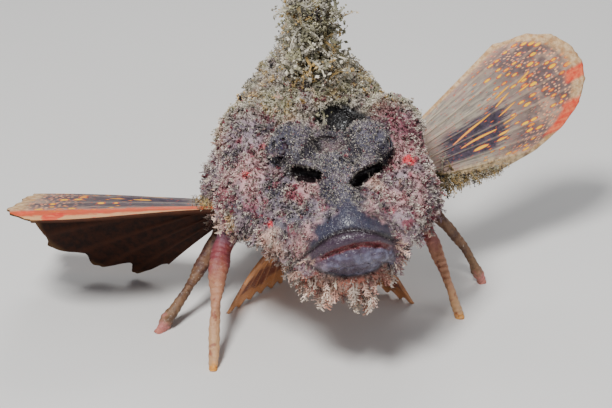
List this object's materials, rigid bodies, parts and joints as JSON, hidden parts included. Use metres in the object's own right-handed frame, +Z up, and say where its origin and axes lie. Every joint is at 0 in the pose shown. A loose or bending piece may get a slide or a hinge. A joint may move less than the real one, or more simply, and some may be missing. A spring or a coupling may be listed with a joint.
{
  "type": "spiny devilfish model",
  "caption": "Life-size spiny devilfish standing on the free rays of its spread pectoral fins, with knobbly eyes, an upturned mouth, a warty fringed skin and a ragged spiny back.",
  "frame": {"origin": "middle of the base of the whole fish's box, on the floor it stands on", "axes": "+Z up, the fish looks along -Y, so +Y points along its tail and +X to its left side"},
  "size_m": [0.1802, 0.2152, 0.1025],
  "materials": {
    "skin": "rough, warty, sandy mauve and grey-violet",
    "lip": "smooth grey-violet",
    "eye": "wet and glossy",
    "fin": "thin skin over rays, ochre with dark fields and orange margins",
    "limb": "pink turning to orange"
  },
  "bodies": {
    "root": {"head": "skin", "lower_jaw": "lip", "eye_left": "eye", "eye_right": "eye", "trunk": "skin", "tail": "skin", "pectoral_fin_left": "fin", "pectoral_fin_right": "fin", "walking_ray_left_front": "limb", "walking_ray_left_rear": "limb", "walking_ray_right_front": "limb", "walking_ray_right_rear": "limb", "pelvic_fin_left": "fin", "pelvic_fin_right": "fin", "dorsal_spines_front": "fin", "dorsal_spines": "fin", "dorsal_fin_soft": "fin", "anal_fin": "fin", "caudal_fin": "fin"}
  },
  "joints": []
}
